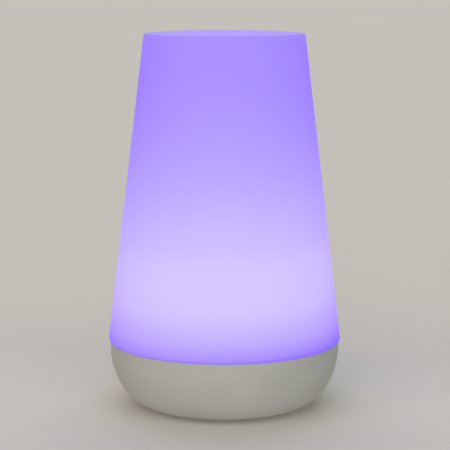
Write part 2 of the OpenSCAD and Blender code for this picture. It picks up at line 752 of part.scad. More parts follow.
// Control and driver chips and small parts
module board_chips() color("#26262a") {
    for (c = legged_chips) box(c[0], board_front + c[1], board_top + chip_lift, c[2], c[3], c[4]);
    for (c = flat_chips) box(c[0], board_front + c[1], board_top, c[2], c[3], c[4]);
}

// Bent legs of the chips, from the middle of a chip's side down to the board
function leg_outline(z) = [[0, z - leg_t / 2], [leg_knee, z - leg_t / 2], [leg_knee, 0], [leg_out, 0],
    [leg_out, leg_t], [leg_knee + leg_t, leg_t], [leg_knee + leg_t, z + leg_t / 2], [0, z + leg_t / 2]];
module chip_legs() color("#c4c6c8") for (c = legged_chips, s = [0, 1], i = [0:c[5] - 1])
    translate([c[0] + (i - (c[5] - 1) / 2) * leg_pitch, board_front + c[1], board_top])
        mirror([0, s, 0]) translate([0, c[3] / 2, 0]) rotate([90, 0, 90])
            linear_extrude(leg_w, center = true) polygon(leg_outline(chip_lift + c[4] / 2));

// Coil of the charging circuit
module power_coil() color("#4a4a4e") translate([coil_x, coil_y, board_top]) {
    box(0, 0, 0, coil_size, coil_size, coil_foot);
    cylinder(d = coil_size - coil_foot, h = coil_h);
}

// Two can-shaped capacitors with a rolled neck, on square feet with two cut corners
module board_capacitors() color("#b9bcc0") for (i = [0:1])
    translate([cap_x, cap_y + i * cap_step, board_top]) {
        h = cap_d / 2;
        r = (cap_d - slide_gap) / 2;
        linear_extrude(cap_base_h) polygon([[-h, -h], [h, -h], [h, h - cap_base_cut], [h - cap_base_cut, h],
            [cap_base_cut - h, h], [-h, h - cap_base_cut]]);
        rotate_extrude() polygon(concat([[0, 0], [r, 0]], arc(r, cap_neck_z, cap_neck_r, 270, 90, edge_steps),
            arc(r - cap_edge_r, cap_h - cap_edge_r, cap_edge_r, 0, 90, edge_steps), [[0, cap_h]]));
    }

// Metal case of the charging socket
module charging_socket() color("#c8cacd") along_y(-socket_x, socket_y, socket_y + socket_l) difference() {
    obround(socket_w, socket_h);
    obround(socket_w - 2 * socket_wall, socket_h - 2 * socket_wall);
}

// Insulator at the back of the socket and its contact tongue
module socket_tongue() color("#1c1c1f") {
    along_y(-socket_x, socket_y, socket_y + socket_l - tongue_l - socket_sub)
        obround(socket_w - 2 * socket_wall - slide_gap, socket_h - 2 * socket_wall - slide_gap);
    translate([-socket_x, 0, port_z - tongue_t / 2])
        box(0, socket_y + socket_l / 2, 0, tongue_w, socket_l - 2 * socket_sub, tongue_t);
}

// Push switch on the main board, with a bore for its plunger
module button_switch() color("#2b2b2e") difference() {
    box(button_x, switch_y + switch_l / 2, board_top, switch_w, switch_l, switch_h);
    along_y(button_x, plunger_y - plunger_out - plunger_in - plunger_room, switch_y + switch_l + overlap)
        circle(d = plunger_d + 2 * slide_gap);
}

// Plunger of the switch, pushed by the button
module switch_plunger() color("#d9d6cc")
    along_y(button_x, plunger_y - plunger_out - plunger_in, plunger_y) circle(d = plunger_d);

// Power button: cap, flange behind the panel and nub
module power_button() color("#b3afa4") {
    translate([button_x, 0, port_z]) rotate([-90, 0, 0]) rotate_extrude() polygon(concat(
        [[0, plunger_y], [nub_d / 2, plunger_y], [nub_d / 2, flange_y], [button_d / 2 + flange_lip, flange_y],
            [button_d / 2 + flange_lip, flange_y + flange_t], [button_d / 2, flange_y + flange_t]],
        arc(button_d / 2 - button_edge, panel_y + button_proud - button_edge, button_edge, 0, 90, edge_steps),
        arc(0, panel_y + button_proud - button_dish + dish_r, dish_r,
            asin(dish_edge / dish_r) - 90, -90, edge_steps)));
}

// Light pipe of the charging indicator
module light_pipe() color("#e4ecf2") {
    translate([pipe_x, 0, port_z]) rotate([-90, 0, 0]) rotate_extrude() polygon(concat(
        [[0, panel_in - pipe_end], [pipe_d / 2, panel_in - pipe_end], [pipe_d / 2, panel_in - pipe_lip_t],
            [pipe_d / 2 + pipe_lip, panel_in - pipe_lip_t], [pipe_d / 2 + pipe_lip, panel_in],
            [pipe_d / 2, panel_in]],
        arc(0, panel_y - pipe_dome_r + pipe_dome, pipe_dome_r, acos(pipe_d / 2 / pipe_dome_r), 90, edge_steps)));
}

// Indicator light on the main board, facing the light pipe
module indicator_light() color("#e9e7df")
    box(pipe_x, indicator_y + indicator_l / 2, board_top, indicator_w, indicator_l, indicator_h);

// Bare rechargeable cell: a drawn can with a rolled bead near its raised contact
module battery_cell() color("#c4c6c9") translate([-cell_l / 2, cell_y, cell_z]) rotate([0, 90, 0]) {
    top = cell_l - cell_cap_h;
    rotate_extrude() polygon(concat([[0, 0]],
        arc(cell_r - cell_edge_r, cell_edge_r, cell_edge_r, -90, 0, edge_steps),
        arc(cell_r, top - bead_in, bead_r, 270, 90, edge_steps),
        arc(cell_r - cell_edge_r, top - cell_edge_r, cell_edge_r, 0, 90, edge_steps),
        [[cell_cap_d / 2, top], [cell_cap_d / 2, cell_l], [0, cell_l]]));
}

// Sleeve shrunk round the cell, turned in a little at both ends
module cell_sleeve() color("#3f7fb5") translate([-cell_l / 2, cell_y, cell_z]) rotate([0, 90, 0]) {
    ring(sleeve_in, pack_r, -sleeve_t, cell_l - cell_cap_h + sleeve_t);
    ring(cell_r - sleeve_lap, pack_r - sleeve_t / 2, -sleeve_t, 0);
    ring(cell_r - sleeve_lap, pack_r - sleeve_t / 2, cell_l - cell_cap_h, cell_l - cell_cap_h + sleeve_t);
}

// Metal strips welded to the ends of the cell
module cell_tabs() color("#d2d3d4") {
    translate([cell_l / 2, cell_y - tab_w / 2, cell_z - tab_low]) cube([tab_t, tab_w, tab_h]);
    translate([-cell_l / 2 - sleeve_t - tab_t, cell_y - tab_w / 2, cell_z - tab_low]) cube([tab_t, tab_w, tab_h]);
}

// Clamp over the cell, screwed down on two posts
module battery_clamp() color("#efece4") translate([0, cell_y, 0]) difference() {
    union() {
        translate([-clamp_w / 2, 0, cell_z]) rotate([0, 90, 0]) cylinder(r = clamp_r, h = clamp_w);
        box(0, 0, ear_z, clamp_w, 2 * (ear_y + small_post_r), clamp_t);
    }
    translate([-clamp_w / 2 - overlap, 0, cell_z]) rotate([0, 90, 0])
        cylinder(r = clamp_in, h = clamp_w + 2 * overlap);
    box(0, 0, 0, clamp_w + 2 * overlap, 2 * clamp_r + 2 * overlap, ear_z);
    for (s = [-1, 1]) translate([0, s * ear_y, ear_z - overlap])
        cylinder(d = small_screw_d + hole_gap, h = clamp_t + 2 * overlap);
}

// Screws that hold the clamp
module clamp_screws() color("#b6b8bc") for (s = [-1, 1])
    translate([0, cell_y + s * ear_y, ear_z + clamp_t]) screw(small_screw_d, small_screw_l);

// Leads from the two ends of the cell to the main board
module lead_positive() color("#b3262a") sweep(positive_route, lead_d, [0, 0, 0], [0, 1, 0]);
module lead_negative() color("#1d1d20") sweep(negative_route, lead_d, [0, 0, 0], [0, 1, 0]);

// Plug at the end of the battery leads
module battery_plug() color("#e6dfcf") at_battery() plug(battery_plug_w, 2);

shade();
base_bowl();
foot_pad();
light_deck();
deck_screws();
led_board();
led_packages();
led_windows();
led_phosphors();
led_board_screws();
led_header();
harness_plugs();
harness_wires();
main_board();
board_screws();
board_headers();
header_pins();
radio_module();
radio_lid();
board_chips();
chip_legs();
power_coil();
board_capacitors();
charging_socket();
socket_tongue();
button_switch();
switch_plunger();
power_button();
light_pipe();
indicator_light();
battery_cell();
cell_sleeve();
cell_tabs();
battery_clamp();
clamp_screws();
lead_positive();
lead_negative();
battery_plug();
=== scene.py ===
import json
import math

import bmesh
import bpy
from mathutils import Matrix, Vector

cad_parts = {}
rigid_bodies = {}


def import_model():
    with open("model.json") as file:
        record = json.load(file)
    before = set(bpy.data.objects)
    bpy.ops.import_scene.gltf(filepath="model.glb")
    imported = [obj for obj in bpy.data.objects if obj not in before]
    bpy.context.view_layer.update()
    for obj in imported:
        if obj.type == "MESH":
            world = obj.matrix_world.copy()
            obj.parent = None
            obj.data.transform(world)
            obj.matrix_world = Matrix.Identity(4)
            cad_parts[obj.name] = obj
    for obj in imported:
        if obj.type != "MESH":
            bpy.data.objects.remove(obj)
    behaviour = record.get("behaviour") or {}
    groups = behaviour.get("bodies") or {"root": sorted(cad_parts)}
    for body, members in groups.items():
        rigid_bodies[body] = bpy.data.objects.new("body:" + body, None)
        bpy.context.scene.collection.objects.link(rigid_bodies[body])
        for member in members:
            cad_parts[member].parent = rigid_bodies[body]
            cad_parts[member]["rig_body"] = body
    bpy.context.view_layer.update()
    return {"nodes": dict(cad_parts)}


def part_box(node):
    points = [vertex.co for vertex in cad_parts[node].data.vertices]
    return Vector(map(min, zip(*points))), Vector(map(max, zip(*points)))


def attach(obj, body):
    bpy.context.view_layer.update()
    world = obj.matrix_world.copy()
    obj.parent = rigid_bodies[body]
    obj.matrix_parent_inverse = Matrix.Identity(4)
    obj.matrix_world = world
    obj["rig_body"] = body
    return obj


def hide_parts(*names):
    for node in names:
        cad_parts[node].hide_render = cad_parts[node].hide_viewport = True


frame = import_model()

# Camera
# A short telephoto lens a little above the middle of the lamp, looking nine degrees down on it.
# Its place follows from the ellipse of the rim and from how fast the sides draw in.
camera_data = bpy.data.cameras.new("camera")
camera_data.sensor_width = 36.0
camera_data.lens = 132.96
camera = bpy.data.objects.new("camera", camera_data)
camera.location = (0.00024, -0.7337, 0.1976)
camera.rotation_euler = (math.radians(90.0 - 9.02), 0.0, 0.0)
bpy.context.scene.collection.objects.link(camera)
bpy.context.scene.camera = camera

# Floor and light
# A wide pale tabletop, a hair below the foot pad, under an even sky. Two wide soft lights stand either
# side of the camera, one a little warm and one a little cool, and one hangs high behind the lamp;
# together they show a colour about as it is written.
bpy.context.scene.view_settings.view_transform = "Standard"
floor_r = 14.0
floor_z = -0.00002
floor_colour = (0.60, 0.575, 0.53, 1.0)
floor_fleck = (0.58, 0.555, 0.51, 1.0)
floor_level = 1.1
backdrop_colour = (0.54, 0.52, 0.49, 1.0)
sky_colour = (0.25, 0.25, 0.25, 1.0)
light_spread = math.radians(70.0)


def put(tree, kind, sockets=None, **options):
    """Adds a shader node, with its options set and its sockets given values or joined to outputs."""
    node = tree.nodes.new("ShaderNode" + kind)
    for name, value in options.items():
        setattr(node, name, value)
    for name, value in (sockets or {}).items():
        if isinstance(value, bpy.types.NodeSocket):
            tree.links.new(value, node.inputs[name])
        else:
            node.inputs[name].default_value = value
    return node


def mixed(tree, share, first, second):
    """A colour that goes from the first to the second as the share goes from 0 to 1."""
    return put(tree, "Mix", {0: share, 6: first, 7: second}, data_type="RGBA").outputs[2]


def reckoned(tree, operation, *values):
    """The result of one step of arithmetic on these numbers or outputs."""
    return put(tree, "Math", dict(enumerate(values)), operation=operation).outputs[0]


def finish(name, sockets):
    """A material whose Principled shader has these plain values; returns it, its tree and the shader."""
    material = bpy.data.materials.new(name)
    material.use_nodes = True
    shader = material.node_tree.nodes["Principled BSDF"]
    for socket, value in sockets.items():
        shader.inputs[socket].default_value = value
    return material, material.node_tree, shader


def add_piece(name, work, material):
    """Turns a finished bmesh into an object at the origin, wearing the material."""
    mesh = bpy.data.meshes.new(name)
    work.to_mesh(mesh)
    work.free()
    mesh.materials.append(material)
    piece = bpy.data.objects.new(name, mesh)
    bpy.context.scene.collection.objects.link(piece)
    return piece


def soft_light(name, turn, height, power, colour):
    """A wide light, turned this many degrees to the right of the camera and this high above the floor."""
    light = bpy.data.lights.new(name, "SUN")
    light.energy = power
    light.color = colour
    light.angle = light_spread
    lamp = bpy.data.objects.new(name, light)
    lamp.rotation_euler = (math.radians(90.0 - height), 0.0, math.radians(turn))
    bpy.context.scene.collection.objects.link(lamp)


soft_light("left_light", turn=-33.0, height=27.0, power=1.42, colour=(1.0, 0.89, 0.80))
soft_light("right_light", turn=17.0, height=27.0, power=1.40, colour=(0.80, 0.91, 1.0))
soft_light("rear_light", turn=180.0, height=52.0, power=1.15, colour=(1.0, 1.0, 1.0))

tabletop, tree, shader = finish("tabletop", {"Roughness": 0.9, "Specular IOR Level": 0.1})
flecks = put(tree, "TexNoise", {"Vector": put(tree, "TexCoord").outputs["Object"], "Scale": 3.0})
tone = mixed(tree, flecks.outputs["Fac"], floor_colour, floor_fleck)
tree.links.new(tone, shader.inputs["Base Color"])
even = put(tree, "Emission", {"Color": floor_colour, "Strength": floor_level})
lighting = put(tree, "MixShader", {
    "Fac": put(tree, "LightPath").outputs["Is Diffuse Ray"], 1: shader.outputs[0], 2: even.outputs[0]})
see_through = put(tree, "MixShader", {
    "Fac": put(tree, "NewGeometry").outputs["Backfacing"],
    1: lighting.outputs[0],
    2: put(tree, "BsdfTransparent").outputs[0]})
tree.links.new(see_through.outputs[0], tree.nodes["Material Output"].inputs["Surface"])

work = bmesh.new()
disc = bmesh.ops.create_circle(work, cap_ends=True, segments=96, radius=floor_r)
bmesh.ops.translate(work, verts=disc["verts"], vec=(0.0, 0.0, floor_z))
add_piece("tabletop", work, tabletop)

sky = bpy.data.worlds.new("sky")
sky.use_nodes = True
bpy.context.scene.world = sky
tree = sky.node_tree
rays = put(tree, "LightPath").outputs
seen = reckoned(tree, "MAXIMUM", rays["Is Camera Ray"], rays["Is Glossy Ray"])
seen = reckoned(tree, "MAXIMUM", seen, rays["Is Transmission Ray"])
shown = mixed(tree, seen, sky_colour, backdrop_colour)
tree.links.new(shown, tree.nodes["Background"].inputs["Color"])

# Bowl
# The base is one injection moulding in warm grey plastic, with a fine spark-eroded grain outside and
# the screw posts, cradle ribs and charging recess inside. Everything else is fixed to it.
mm = 0.001
bowl_colour = (0.385, 0.376, 0.343, 1.0)
blotch_scale = 55.0
gloss_swing = 0.12
merge_gap = 0.001 * mm
flat_angle = math.radians(0.1)
fold_angle = math.radians(170.0)
mould_crease = math.radians(32.0)
narrow_corner = math.radians(30.0)
least_room = 0.8


def shader_group(name, inputs, outputs):
    """An empty shader group with these sockets; returns its tree, what it is given and what it makes."""
    tree = bpy.data.node_groups.new(name, "ShaderNodeTree")
    for side, sockets in (("INPUT", inputs), ("OUTPUT", outputs)):
        for socket, kind in sockets.items():
            tree.interface.new_socket(socket, in_out=side, socket_type="NodeSocket" + kind)
    return tree, tree.nodes.new("NodeGroupInput").outputs, tree.nodes.new("NodeGroupOutput").inputs


grain, given, made = shader_group(
    "moulded_grain",
    {"Colour": "Color", "Grain": "Float", "Tone": "Float", "Roughness": "Float", "Depth": "Float"},
    {"Colour": "Color", "Roughness": "Float", "Normal": "Vector"})
place = put(grain, "TexCoord").outputs["Object"]
fine = put(grain, "TexNoise", {"Vector": place, "Scale": given["Grain"], "Detail": 2.0})
broad = put(grain, "TexNoise", {"Vector": place, "Scale": blotch_scale, "Detail": 3.0})
both = reckoned(grain, "ADD", fine.outputs["Fac"], broad.outputs["Fac"])
swing = reckoned(grain, "SUBTRACT", both, 1.0)
value = reckoned(grain, "MULTIPLY_ADD", swing, given["Tone"], 1.0)
shaded = put(grain, "HueSaturation", {"Color": given["Colour"], "Value": value})
matt = reckoned(grain, "MULTIPLY_ADD", swing, gloss_swing, given["Roughness"])
relief = put(grain, "Bump", {"Height": fine.outputs["Fac"], "Distance": given["Depth"]})
grain.links.new(shaded.outputs["Color"], made["Colour"])
grain.links.new(matt, made["Roughness"])
grain.links.new(relief.outputs["Normal"], made["Normal"])


def place_group(tree, shader, group, sockets):
    """Places a group in a material, gives it these values and joins what it makes to the shader."""
    node = put(tree, "Group", sockets, node_tree=group)
    for made, socket in (("Colour", "Base Color"), ("Roughness", "Roughness"), ("Normal", "Normal")):
        tree.links.new(node.outputs[made], shader.inputs[socket])


def grained(name, colour, pitch, tone, roughness, depth, specular=0.4):
    """A moulded plastic or rubber: one colour, broken up by a grain of this pitch and depth, in metres."""
    material, tree, shader = finish(name, {"Specular IOR Level": specular})
    place_group(tree, shader, grain, {"Colour": colour, "Grain": 1.0 / pitch, "Tone": tone,
                                      "Roughness": roughness, "Depth": depth})
    return material


def merged(node):
    """A bmesh of a solid with its triangles joined, its stray slivers taken up and its flats made whole."""
    bare = frame["nodes"][node].data.copy()
    if bare.has_custom_normals:
        bare.attributes.remove(bare.attributes["custom_normal"])
    work = bmesh.new()
    work.from_mesh(bare)
    bpy.data.meshes.remove(bare)
    bmesh.ops.remove_doubles(work, verts=work.verts, dist=merge_gap)
    strays = []
    for face in work.faces:
        side = max(face.edges, key=lambda line: line.calc_length())
        folded = all(line.calc_face_angle(0.0) > fold_angle for line in face.edges)
        empty = face.calc_area() < merge_gap * side.calc_length()
        if (folded or empty) and side not in strays:
            strays.append(side)
    bmesh.ops.dissolve_edges(work, edges=strays)
    bmesh.ops.dissolve_limit(work, angle_limit=flat_angle, verts=work.verts, edges=work.edges)
    for face in work.faces:
        face.material_index = 0
    return work


def smooth_curves(work, crease):
    """Shades the curves smooth and keeps every edge sharper than the crease."""
    for face in work.faces:
        face.smooth = True
    for line in work.edges:
        line.smooth = line.calc_face_angle(0.0) < crease


def seat(piece, node):
    """Lets a piece stand for a solid, on the same body, and hides the solid."""
    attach(piece, frame["nodes"][node]["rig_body"])
    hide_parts(node)


def sharp_runs(work):
    """The sharp edges of a bmesh, sorted into runs that hang together."""
    for line in work.edges:
        line.tag = not line.smooth
    runs = []
    for line in work.edges:
        if line.tag:
            line.tag = False
            run = [line]
            for reached in run:
                for near in reached.verts[0].link_edges[:] + reached.verts[1].link_edges[:]:
                    if near.tag:
                        near.tag = False
                        run.append(near)
            runs.append(run)
    return runs


def has_room(run, width):
    """True for a closed run of edges with no stub or narrow corner in the way of an easing this wide."""
    ends = [vert for line in run for vert in line.verts]
    closed = all(ends.count(vert) > 1 for vert in ends)
    corners = [loop for line in run for loop in line.link_loops if loop.link_loop_prev.edge in run]
    wide = all(loop.calc_angle() > narrow_corner for loop in corners)
    return closed and wide and min(line.calc_length() for line in run) > least_room * width


def ease_edges(work, width):
    """Rounds off the sharp edges that have room for it, as a mould or a deburring tool leaves them."""
    for run in sharp_runs(work):
        if has_room(run, width):
            bmesh.ops.bevel(work, geom=run, offset=width, offset_type="OFFSET", segments=2, profile=0.5,
                            affect="EDGES", clamp_overlap=True, material=-1)
    bmesh.ops.remove_doubles(work, verts=work.verts, dist=merge_gap)


def dressed(node, material, edge):
    """Stands a merged copy of a solid in its place, with smooth curves, eased edges and this finish."""
    work = merged(node)
    smooth_curves(work, mould_crease)
    ease_edges(work, edge)
    piece = add_piece("finished_" + node, work, material)
    piece.modifiers.new("flats_stay_flat", "WEIGHTED_NORMAL").keep_sharp = True
    seat(piece, node)


bowl_plastic = grained(
    "bowl_plastic", bowl_colour,
    pitch=0.7 * mm, tone=0.16, roughness=0.62, depth=0.04 * mm)
dressed("base_bowl", bowl_plastic, edge=0.15 * mm)

# Foot pad
# A disc of dark silicone rubber glued into the recess under the bowl, standing a little proud of it.
# Its edge is rounded and three rings are moulded into its face to grip the table.
pad_low, pad_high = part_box("foot_pad")
pad_r = pad_high.x
pad_edge = 0.4 * mm
ring_w = 1.2 * mm
ring_radii = [10.0 * mm, 16.0 * mm, 22.0 * mm]
pad_colour = (0.052, 0.050, 0.048, 1.0)
edge_steps = 6
arc_steps = 8
turn_steps = 192


def line_to(work, tip, r, z):
    """Draws the outline on from its tip to a radius and a height."""
    new_tip = bmesh.ops.extrude_vert_indiv(work, verts=[tip])["verts"][0]
    new_tip.co = (r, 0.0, z)
    return new_tip


def arc_to(work, tip, r, z, angle, steps):
    """Draws the outline on round a centre, a positive angle turning from outwards to upwards."""
    arc = bmesh.ops.spin(work, geom=[tip], cent=(r, 0.0, z), axis=(0.0, -1.0, 0.0), angle=angle,
                         steps=steps)
    return arc["geom_last"][0]


def turn_round(work):
    """Spins the outline once round the upright axis into a closed skin, smooth but for its corners."""
    bmesh.ops.spin(work, geom=work.verts[:] + work.edges[:], cent=(0.0, 0.0, 0.0), axis=(0.0, 0.0, 1.0),
                   angle=2.0 * math.pi, steps=turn_steps, use_merge=True)
    bmesh.ops.remove_doubles(work, verts=work.verts, dist=merge_gap)
    bmesh.ops.recalc_face_normals(work, faces=work.faces)
    smooth_curves(work, mould_crease)


work = bmesh.new()
tip = work.verts.new((0.0, 0.0, pad_low.z))
for ring_r in ring_radii:
    tip = line_to(work, tip, ring_r - ring_w / 2.0, pad_low.z)
    tip = arc_to(work, tip, ring_r, pad_low.z, -math.pi, arc_steps)
tip = line_to(work, tip, pad_r - pad_edge, pad_low.z)
tip = arc_to(work, tip, pad_r - pad_edge, pad_low.z + pad_edge, math.pi / 2.0, edge_steps)
tip = line_to(work, tip, pad_r, pad_high.z)
line_to(work, tip, 0.0, pad_high.z)
turn_round(work)
silicone = grained(
    "pad_silicone", pad_colour,
    pitch=0.3 * mm, tone=0.25, roughness=0.85, depth=0.02 * mm, specular=0.2)
seat(add_piece("silicone_foot", work, silicone), "foot_pad")

# Charging socket
# A drawn steel sleeve soldered to the rear edge of the main board and reaching into the recess of the
# bowl. Inside it a black insulator carries the tongue with its gilt contact strips.
contact_pitch = 0.5 * mm
contact_share = 0.5
contact_reach = 4.2 * mm
contact_inset = 0.4 * mm
contact_gilt = (0.83, 0.60, 0.24, 1.0)
tongue_black = (0.012, 0.012, 0.013, 1.0)
tongue_fleck = (0.02, 0.02, 0.021, 1.0)
line_dulling = 0.3
line_depth = 0.004 * mm

metal, given, made = shader_group(
    "worked_metal", {"Colour": "Color", "Stretch": "Vector", "Roughness": "Float"},
    {"Colour": "Color", "Roughness": "Float", "Normal": "Vector"})
place = put(metal, "TexCoord").outputs["Object"]
drawn = put(metal, "Mapping", {"Vector": place, "Scale": given["Stretch"]})
lines = put(metal, "TexNoise", {"Vector": drawn.outputs["Vector"], "Scale": 1.0, "Detail": 3.0})
stain = put(metal, "TexNoise", {"Vector": place, "Scale": 260.0, "Detail": 2.0})
dull = put(metal, "MapRange", {"Value": stain.outputs["Fac"], "From Min": 0.3, "From Max": 0.7,
                               "To Min": 0.86, "To Max": 1.04})
toned = put(metal, "HueSaturation", {"Color": given["Colour"], "Value": dull.outputs["Result"]})
swing = reckoned(metal, "MULTIPLY", lines.outputs["Fac"], stain.outputs["Fac"])
matt = reckoned(metal, "MULTIPLY_ADD", swing, line_dulling, given["Roughness"])
relief = put(metal, "Bump", {"Height": lines.outputs["Fac"], "Distance": line_depth})
metal.links.new(toned.outputs["Color"], made["Colour"])
metal.links.new(matt, made["Roughness"])
metal.links.new(relief.outputs["Normal"], made["Normal"])


def worked(name, colour, stretch, roughness):
    """A bare or plated metal whose drawn or brushed lines are this many to the metre along x, y and z."""
    material, tree, shader = finish(name, {"Metallic": 1.0})
    place_group(tree, shader, metal, {"Colour": colour, "Stretch": stretch, "Roughness": roughness})
    return material


socket_steel = worked(
    "socket_steel", (0.66, 0.66, 0.67, 1.0), stretch=(3000.0, 200.0, 3000.0), roughness=0.2)
dressed("charging_socket", socket_steel, edge=0.08 * mm)

tongue, tree, shader = finish("socket_tongue", {"Specular IOR Level": 0.4})
place = put(tree, "TexCoord").outputs["Object"]
across = put(tree, "SeparateXYZ", {"Vector": place}).outputs
step = reckoned(tree, "MULTIPLY", across["X"], 1.0 / contact_pitch)
beat = reckoned(tree, "FRACT", step)
strip = reckoned(tree, "LESS_THAN", beat, contact_share)
tip_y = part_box("socket_tongue")[1].y
forward = reckoned(tree, "GREATER_THAN", across["Y"], tip_y - contact_reach)
short = reckoned(tree, "LESS_THAN", across["Y"], tip_y - contact_inset)
gilt = reckoned(tree, "MULTIPLY", strip, forward)
gilt = reckoned(tree, "MULTIPLY", gilt, short)
speck = put(tree, "TexNoise", {"Vector": place, "Scale": 3000.0}).outputs["Fac"]
black = mixed(tree, speck, tongue_black, tongue_fleck)
colour = mixed(tree, gilt, black, contact_gilt)
matt = put(tree, "MapRange", {"Value": speck, "To Min": 0.3, "To Max": 0.5})
tree.links.new(colour, shader.inputs["Base Color"])
tree.links.new(gilt, shader.inputs["Metallic"])
tree.links.new(matt.outputs["Result"], shader.inputs["Roughness"])
dressed("socket_tongue", tongue, edge=0.06 * mm)

# Power button
# The button is moulded from the same plastic as the bowl, with a dished face and a flange that keeps it
# behind the panel. Its nub pushes the ivory plunger of a small black switch on the main board.
dressed("power_button", bowl_plastic, edge=0.08 * mm)
black_plastic = grained(
    "black_plastic", (0.022, 0.022, 0.024, 1.0),
    pitch=0.25 * mm, tone=0.3, roughness=0.5, depth=0.008 * mm)
dressed("button_switch", black_plastic, edge=0.12 * mm)
plunger_plastic = grained(
    "plunger_plastic", (0.66, 0.63, 0.54, 1.0),
    pitch=0.3 * mm, tone=0.08, roughness=0.4, depth=0.005 * mm)
dressed("switch_plunger", plunger_plastic, edge=0.1 * mm)

# Indicator
# A milky acrylic rod carries the light of a small white diode on the board out to the panel, where its
# end stands as a low dome. A lip behind the panel keeps it from being pushed through.
milky, tree, shader = finish("milky_acrylic", {
    "Base Color": (0.86, 0.88, 0.90, 1.0), "Transmission Weight": 0.4, "IOR": 1.49})
flow = put(tree, "TexNoise", {"Vector": put(tree, "TexCoord").outputs["Object"], "Scale": 900.0})
matt = put(tree, "MapRange", {"Value": flow.outputs["Fac"], "To Min": 0.12, "To Max": 0.3})
tree.links.new(matt.outputs["Result"], shader.inputs["Roughness"])
dressed("light_pipe", milky, edge=0.08 * mm)
diode_white = grained(
    "diode_white", (0.80, 0.79, 0.74, 1.0),
    pitch=0.3 * mm, tone=0.06, roughness=0.4, depth=0.005 * mm)
dressed("indicator_light", diode_white, edge=0.1 * mm)

# Main board
# The control board is green-masked glass laminate with copper tracks and tinned holes, screwed to four
# posts in the bowl. The same kind of laminate, masked black or white, carries the radio and the lights.
hole_tin = (0.55, 0.55, 0.53, 1.0)
hole_dark = (0.02, 0.02, 0.02, 1.0)
hole_share = 0.45
tin_reach = 0.13
bore_reach = 0.06
laminate, given, made = shader_group(
    "masked_laminate", {"Mask": "Color", "Track": "Color", "Pitch": "Float"},
    {"Colour": "Color", "Roughness": "Float", "Normal": "Vector"})
place = put(laminate, "TexCoord").outputs["Object"]
turned = put(laminate, "Mapping", {"Vector": place, "Rotation": (0.0, 0.0, math.pi / 2.0)})
along, upright = [
    put(laminate, "TexBrick", {"Vector": way, "Scale": given["Pitch"], "Mortar Size": 0.06,
                               "Mortar Smooth": 0.2, "Brick Width": 3.1, "Row Height": 0.55}, offset=0.35)
    for way in (place, turned.outputs["Vector"])]
patch = put(laminate, "TexNoise", {"Vector": place, "Scale": 130.0, "Detail": 0.0}).outputs["Fac"]
choice = reckoned(laminate, "GREATER_THAN", patch, 0.5)
tracks = put(laminate, "Mix", {0: choice, 2: along.outputs["Fac"], 3: upright.outputs["Fac"]},
             data_type="FLOAT").outputs[0]
spread = reckoned(laminate, "MULTIPLY", given["Pitch"], hole_share)
holes = put(laminate, "TexVoronoi", {"Vector": place, "Scale": spread}, voronoi_dimensions="2D")
tinned = reckoned(laminate, "LESS_THAN", holes.outputs["Distance"], tin_reach)
drilled = reckoned(laminate, "LESS_THAN", holes.outputs["Distance"], bore_reach)
masked = mixed(laminate, tracks, given["Mask"], given["Track"])
ringed = mixed(laminate, tinned, masked, hole_tin)
bored = mixed(laminate, drilled, ringed, hole_dark)
matt = put(laminate, "MapRange", {"Value": patch, "To Min": 0.28, "To Max": 0.42})
relief = put(laminate, "Bump", {"Height": tracks, "Distance": 0.03 * mm})
laminate.links.new(bored, made["Colour"])
laminate.links.new(matt.outputs["Result"], made["Roughness"])
laminate.links.new(relief.outputs["Normal"], made["Normal"])


def board(name, mask, track, pitch):
    """A masked laminate board whose tracks run at about this pitch, in metres."""
    material, tree, shader = finish(name, {"Specular IOR Level": 0.5})
    place_group(tree, shader, laminate, {"Mask": mask, "Track": track, "Pitch": 1.0 / pitch})
    return material


green_mask = board(
    "green_mask", mask=(0.010, 0.105, 0.050, 1.0), track=(0.028, 0.190, 0.092, 1.0), pitch=2.0 * mm)
dressed("main_board", green_mask, edge=0.06 * mm)
screw_steel = worked(
    "screw_steel", (0.60, 0.61, 0.63, 1.0), stretch=(1500.0, 1500.0, 300.0), roughness=0.25)
dressed("board_screws", screw_steel, edge=0.05 * mm)

# Parts on the main board
# The radio is a small black board with a tinned steel lid over its chips and a printed aerial at its
# end. Beside it stand moulded chips, two of them on bent tinned legs, a ferrite coil and two aluminium
# capacitors on black feet.
black_mask = board(
    "black_mask", mask=(0.012, 0.014, 0.018, 1.0), track=(0.035, 0.037, 0.042, 1.0), pitch=1.2 * mm)
dressed("radio_module", black_mask, edge=0.05 * mm)
lid_steel = worked(
    "lid_steel", (0.68, 0.69, 0.70, 1.0), stretch=(250.0, 2600.0, 250.0), roughness=0.18)
dressed("radio_lid", lid_steel, edge=0.12 * mm)
dressed("board_chips", black_plastic, edge=0.1 * mm)
leg_tin = worked(
    "leg_tin", (0.70, 0.70, 0.68, 1.0), stretch=(1500.0, 1500.0, 300.0), roughness=0.25)
dressed("chip_legs", leg_tin, edge=0.03 * mm)
ferrite = grained(
    "ferrite", (0.058, 0.056, 0.060, 1.0),
    pitch=0.2 * mm, tone=0.4, roughness=0.6, depth=0.015 * mm)
dressed("power_coil", ferrite, edge=0.1 * mm)

